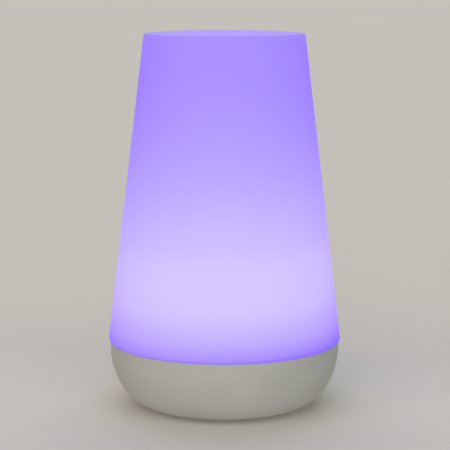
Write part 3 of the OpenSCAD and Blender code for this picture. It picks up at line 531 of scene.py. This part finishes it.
can_low, can_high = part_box("board_capacitors")
can_dull = (0.62, 0.63, 0.64, 1.0)
can_bright = (0.76, 0.77, 0.78, 1.0)
can_black = (0.016, 0.016, 0.018, 1.0)
foot_top = can_low.z + 0.8 * mm
mark_x = can_low.x + 2.0 * mm
mark_z = can_high.z - 0.3 * mm
cans, tree, shader = finish("capacitor_can", {})
place = put(tree, "TexCoord").outputs["Object"]
where = put(tree, "SeparateXYZ", {"Vector": place}).outputs
foot = reckoned(tree, "LESS_THAN", where["Z"], foot_top)
upper = reckoned(tree, "GREATER_THAN", where["Z"], mark_z)
side = reckoned(tree, "LESS_THAN", where["X"], mark_x)
mark = reckoned(tree, "MULTIPLY", upper, side)
dark = reckoned(tree, "MAXIMUM", foot, mark)
spun = put(tree, "TexNoise", {"Vector": place, "Scale": 1400.0, "Detail": 3.0}).outputs["Fac"]
bright = mixed(tree, spun, can_dull, can_bright)
colour = mixed(tree, dark, bright, can_black)
shiny = reckoned(tree, "SUBTRACT", 1.0, dark)
matt = put(tree, "MapRange", {"Value": spun, "To Min": 0.22, "To Max": 0.4})
tree.links.new(colour, shader.inputs["Base Color"])
tree.links.new(shiny, shader.inputs["Metallic"])
tree.links.new(matt.outputs["Result"], shader.inputs["Roughness"])
dressed("board_capacitors", cans, edge=0.02 * mm)

# Headers and plugs
# Ivory nylon headers soldered to both boards, each with a row of gilt square pins, and the crimped plugs
# of the harness and the battery pushed into them.
nylon = grained(
    "ivory_nylon", (0.70, 0.65, 0.52, 1.0),
    pitch=0.35 * mm, tone=0.08, roughness=0.45, depth=0.01 * mm)
for node in ("board_headers", "led_header", "harness_plugs", "battery_plug"):
    dressed(node, nylon, edge=0.12 * mm)
gilt_pins = worked(
    "gilt_pins", contact_gilt, stretch=(900.0, 900.0, 300.0), roughness=0.2)
dressed("header_pins", gilt_pins, edge=0.06 * mm)

# Battery
# One rechargeable steel cell in a blue shrink sleeve, with nickel strips welded to its ends. A white
# saddle clamp holds it down in the cradle with two screws.
cell_steel = worked(
    "cell_steel", (0.60, 0.60, 0.60, 1.0), stretch=(200.0, 1800.0, 1800.0), roughness=0.22)
dressed("battery_cell", cell_steel, edge=0.3 * mm)
shrink_film = grained(
    "shrink_film", (0.040, 0.190, 0.430, 1.0),
    pitch=1.6 * mm, tone=0.12, roughness=0.34, depth=0.02 * mm, specular=0.5)
dressed("cell_sleeve", shrink_film, edge=0.08 * mm)
nickel = worked(
    "nickel_strip", (0.66, 0.64, 0.60, 1.0), stretch=(1500.0, 1500.0, 180.0), roughness=0.24)
dressed("cell_tabs", nickel, edge=0.05 * mm)
white_plastic = grained(
    "white_plastic", (0.78, 0.77, 0.74, 1.0),
    pitch=0.35 * mm, tone=0.05, roughness=0.5, depth=0.015 * mm)
dressed("battery_clamp", white_plastic, edge=0.2 * mm)
dressed("clamp_screws", screw_steel, edge=0.05 * mm)

# Battery leads
# Two stranded leads in soft silicone insulation, soldered to the strips and arched over the board to
# their plug.
lead_crease = math.radians(60.0)


def lead(node, material):
    """Stands a rounded copy of a faceted lead in its place, with its two ends left square."""
    work = merged(node)
    crease = work.edges.layers.float.new("crease_edge")
    for line in work.edges:
        line[crease] = 1.0 if line.calc_face_angle(0.0) > lead_crease else 0.0
    smooth_curves(work, lead_crease)
    piece = add_piece("finished_" + node, work, material)
    rounded = piece.modifiers.new("rounded", "SUBSURF")
    rounded.levels = 1
    rounded.render_levels = 1
    seat(piece, node)


red_silicone = grained(
    "red_silicone", (0.420, 0.018, 0.020, 1.0),
    pitch=0.4 * mm, tone=0.12, roughness=0.5, depth=0.01 * mm)
lead("lead_positive", red_silicone)
black_silicone = grained(
    "black_silicone", (0.016, 0.016, 0.018, 1.0),
    pitch=0.4 * mm, tone=0.25, roughness=0.5, depth=0.01 * mm)
lead("lead_negative", black_silicone)

# Light deck
# A white plate that closes the bowl, with a raised collar whose three hooks take the lugs of the shade.
# Three screws hold it to the posts of the bowl.
dressed("light_deck", white_plastic, edge=0.06 * mm)
dressed("deck_screws", screw_steel, edge=0.05 * mm)

# Light board
# A round board with a white mask, screwed to the deck. Its outer ring of lamps gives colour and its
# inner ring warm white; only the colour ring is lit.
white_mask = board(
    "white_mask", mask=(0.80, 0.80, 0.78, 1.0), track=(0.70, 0.70, 0.68, 1.0), pitch=2.4 * mm)
dressed("led_board", white_mask, edge=0.06 * mm)
dressed("led_board_screws", screw_steel, edge=0.05 * mm)
dressed("led_packages", diode_white, edge=0.1 * mm)


def lamp_gel(name, middle, rim, glow):
    """The gel of a lamp, with one colour over its chip in the middle and another towards its rim."""
    material, tree, shader = finish(name, {"Emission Strength": glow})
    reach = put(tree, "Attribute", attribute_name="from_middle")
    tint = mixed(tree, reach.outputs["Fac"], middle, rim)
    ripple = put(tree, "TexNoise", {"Vector": put(tree, "TexCoord").outputs["Object"], "Scale": 1800.0})
    matt = put(tree, "MapRange", {"Value": ripple.outputs["Fac"], "To Min": 0.12, "To Max": 0.3})
    tree.links.new(tint, shader.inputs["Base Color"])
    tree.links.new(tint, shader.inputs["Emission Color"])
    tree.links.new(matt.outputs["Result"], shader.inputs["Roughness"])
    return material


def lamp_window(node, material):
    """Stands a copy of the lamps' gel in its place, marked with the way from each middle to its rim."""
    work = merged(node)
    level = max(vert.co.z for vert in work.verts)
    tops = [face for face in work.faces if face.calc_center_median().z > level - merge_gap]
    middles = bmesh.ops.poke(work, faces=tops)["verts"]
    reach = work.verts.layers.float.new("from_middle")
    for vert in work.verts:
        vert[reach] = 0.0 if vert in middles else 1.0
    smooth_curves(work, mould_crease)
    seat(add_piece("finished_" + node, work, material), node)


lit_gel = lamp_gel("lit_gel", middle=(0.95, 0.90, 1.0, 1.0), rim=(0.55, 0.42, 1.0, 1.0), glow=1.0)
lamp_window("led_windows", lit_gel)
warm_gel = lamp_gel("warm_gel", middle=(0.72, 0.55, 0.08, 1.0), rim=(0.80, 0.66, 0.16, 1.0), glow=0.0)
lamp_window("led_phosphors", warm_gel)

# Harness
# Five silicone-covered wires from the main board up through the slot in the deck to the lights: one for
# each colour, one for warm white and the common return.
wire_low, wire_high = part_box("harness_wires")
wire_colours = [(0.40, 0.020, 0.020), (0.020, 0.22, 0.045), (0.018, 0.060, 0.36), (0.72, 0.71, 0.68),
                (0.018, 0.018, 0.020)]
wires, tree, shader = finish("harness_silicone", {"Specular IOR Level": 0.4})
place = put(tree, "TexCoord").outputs["Object"]
across = put(tree, "SeparateXYZ", {"Vector": place})
share = put(tree, "MapRange", {
    "Value": across.outputs["X"], "From Min": wire_low.x, "From Max": wire_high.x})
code = put(tree, "ValToRGB", {"Fac": share.outputs["Result"]})
code.color_ramp.interpolation = "CONSTANT"
for number, colour in enumerate(wire_colours):
    if number < 2:
        stop = code.color_ramp.elements[number]
        stop.position = number / len(wire_colours)
    else:
        stop = code.color_ramp.elements.new(number / len(wire_colours))
    stop.color = (*colour, 1.0)
place_group(tree, shader, grain, {"Colour": code.outputs["Color"], "Grain": 1.0 / (0.4 * mm), "Tone": 0.12,
                                  "Roughness": 0.5, "Depth": 0.01 * mm})
lead("harness_wires", wires)

# Shade
# The diffuser is one opal plastic moulding with a closed top and a fine frosted face, glowing lavender
# from the lights below it. Three lugs inside its rim turn under the hooks of the deck.
shade_low, shade_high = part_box("shade")
seam_z = shade_low.z
top_z = shade_high.z
rim_r = shade_high.x
rim_step = 0.7 * mm
rim_rise = 1.0 * mm
top_r = 35.5 * mm
wall = 2.0 * mm
top_round = 0.9 * mm
lug_lift = 2.6 * mm
lug_reach = 2.4 * mm
lug_h = 2.2 * mm
lug_root = 0.3 * mm
lug_arc = math.radians(20.0)
lug_starts = [math.radians(a) for a in (60.0, 180.0, 300.0)]
rim_z = seam_z + rim_rise
lug_z = seam_z + lug_lift
rim_round = (rim_rise ** 2 + rim_step ** 2) / (2.0 * rim_step)
lean = math.atan((rim_r - top_r) / (top_z - rim_z))
skirt_r = rim_r - rim_step - wall
skirt_z = rim_z + rim_step / math.tan(lean)
roof_z = top_z - wall
roof_r = top_r + wall * math.tan(lean) - wall


def top_corner(r, z):
    """Centre of the rounded corner where a leaning side of top radius r meets a level top at z."""
    return r - top_round * (1.0 - math.sin(lean)) / math.cos(lean), z - top_round


def wall_line(work, tip, r, z):
    """Draws a leaning side, its rounded top corner and the level top, in to the axis."""
    x, y = top_corner(r, z)
    tip = line_to(work, tip, x + top_round * math.cos(lean), y + top_round * math.sin(lean))
    tip = arc_to(work, tip, x, y, math.pi / 2.0 - lean, arc_steps)
    return line_to(work, tip, 0.0, z)


work = bmesh.new()
skirt = work.verts.new((skirt_r, 0.0, seam_z))
tip = line_to(work, skirt, rim_r - rim_step, seam_z)
tip = arc_to(work, tip, rim_r - rim_round, rim_z, math.asin(rim_rise / rim_round), arc_steps)
wall_line(work, tip, top_r, top_z)
tip = line_to(work, skirt, skirt_r, skirt_z)
wall_line(work, tip, roof_r, roof_z)
turn_round(work)
for start in lug_starts:
    flat = [work.verts.new((r, 0.0, z)) for r, z in (
        (skirt_r - lug_reach, lug_z), (skirt_r + lug_root, lug_z),
        (skirt_r + lug_root, lug_z + lug_h), (skirt_r - lug_reach, lug_z + lug_h))]
    bmesh.ops.rotate(work, verts=flat, cent=(0.0, 0.0, 0.0), matrix=Matrix.Rotation(start, 3, "Z"))
    bmesh.ops.spin(work, geom=[work.faces.new(flat)], cent=(0.0, 0.0, 0.0), axis=(0.0, 0.0, 1.0),
                   angle=lug_arc, steps=arc_steps)
bmesh.ops.recalc_face_normals(work, faces=work.faces)
smooth_curves(work, mould_crease)

# The glow is painted into the shade's face as emission that follows the height: deep lavender at the rim,
# palest about a fifth of the way up, and fading towards the top. The gradient is tilted a little, so one
# side glows a little darker than the other.
glow_deep = (0.303, 0.212, 0.96, 1.0)
glow_pale = (0.66, 0.646, 0.96, 1.0)
glow_curve = ((0.0, 0.0), (0.03, 0.36), (0.1, 0.75), (0.2, 0.98), (0.37, 0.75), (0.6, 0.38), (0.8, 0.2),
              (1.0, 0.1))
glow_tilt = math.radians(1.5)
# A tinted coat over the glow paints shade where the shade is seen edge-on, dimming and deepening its colour
# there. Its weight follows the height: heaviest at the rim, steady up the wall and nearly gone on the top.
edge_dimming_curve = ((0.0, 0.8), (0.12, 0.65), (0.26, 0.55), (0.98, 0.55), (1.0, 0.1))
# The glow of the top is painted with its own light and shade: a thin darker line along the rounded top
# edge, the level top a little dimmer than the wall below it, and a slight brightening towards its middle.
lid_glow_levels = ((0.4, 1.0), (0.8, 0.68), (1.0, 0.88))
lid_middle_glow = 1.06
opal, tree, shader = finish("opal_glow", {
    "Base Color": (0.10, 0.08, 0.11, 1.0), "Specular IOR Level": 0.05, "Emission Strength": 1.0,
    "Coat IOR": 1.08, "Coat Roughness": 0.6, "Coat Tint": (0.82, 0.68, 1.0, 1.0)})


def height_curve(tree, share, points):
    """A value that follows a curve through these points as the share of the height goes from 0 to 1."""
    follow = put(tree, "FloatCurve", {"Value": share})
    line = follow.mapping.curves[0]
    for where, level in points[1:-1]:
        line.points.new(where, level)
    for point, (where, level) in zip(line.points, points):
        point.location = (where, level)
    follow.mapping.update()
    return follow.outputs[0]


place = put(tree, "TexCoord").outputs["Object"]
askew = put(tree, "Mapping", {"Vector": place, "Rotation": (0.0, glow_tilt, 0.0)})
height = put(tree, "SeparateXYZ", {"Vector": askew.outputs["Vector"]})
share = put(tree, "MapRange", {"Value": height.outputs["Z"], "From Min": seam_z, "From Max": top_z})
rise = height_curve(tree, share.outputs["Result"], glow_curve)
lit = mixed(tree, rise, glow_deep, glow_pale)
level = put(tree, "SeparateXYZ", {"Vector": place})
upright = put(tree, "MapRange", {"Value": level.outputs["Z"], "From Min": seam_z, "From Max": top_z})
tree.links.new(height_curve(tree, upright.outputs["Result"], edge_dimming_curve), shader.inputs["Coat Weight"])
# Painted light and shade on the top: the glow is darkened in a line along the rounded edge and on the level
# top, and brightened towards the top's middle.
lid = put(tree, "MapRange", {"Value": level.outputs["Z"], "From Min": top_z - top_round, "From Max": top_z})
lid_glow_ramp = put(tree, "ValToRGB", {"Fac": lid.outputs["Result"]})
lid_glow_ramp.color_ramp.elements.new(0.5)
for stop, (where, tone) in zip(lid_glow_ramp.color_ramp.elements, lid_glow_levels):
    stop.position = where
    stop.color = (tone, tone, tone, 1.0)
flat = put(tree, "VectorMath", {0: place, 1: (1.0, 1.0, 0.0)}, operation="MULTIPLY")
reach = put(tree, "VectorMath", {0: flat.outputs["Vector"]}, operation="LENGTH")
middle = put(tree, "MapRange", {"Value": reach.outputs["Value"], "From Max": top_r, "To Min": lid_middle_glow,
                                "To Max": 1.0}, interpolation_type="SMOOTHSTEP")
both = put(tree, "Mix", {0: 1.0, 6: lit, 7: lid_glow_ramp.outputs["Color"]}, data_type="RGBA",
           blend_type="MULTIPLY")
glow = put(tree, "VectorMath", {0: both.outputs[2], "Scale": middle.outputs["Result"]}, operation="SCALE")
tree.links.new(glow.outputs["Vector"], shader.inputs["Emission Color"])
frost = put(tree, "TexNoise", {"Vector": place, "Scale": 1.0 / (0.3 * mm), "Detail": 2.0})
relief = put(tree, "Bump", {"Height": frost.outputs["Fac"], "Distance": 0.01 * mm})
tree.links.new(relief.outputs["Normal"], shader.inputs["Normal"])
matt = put(tree, "MapRange", {"Value": frost.outputs["Fac"], "To Min": 0.5, "To Max": 0.62})
tree.links.new(matt.outputs["Result"], shader.inputs["Roughness"])

seat(add_piece("opal_shade", work, opal), "shade")
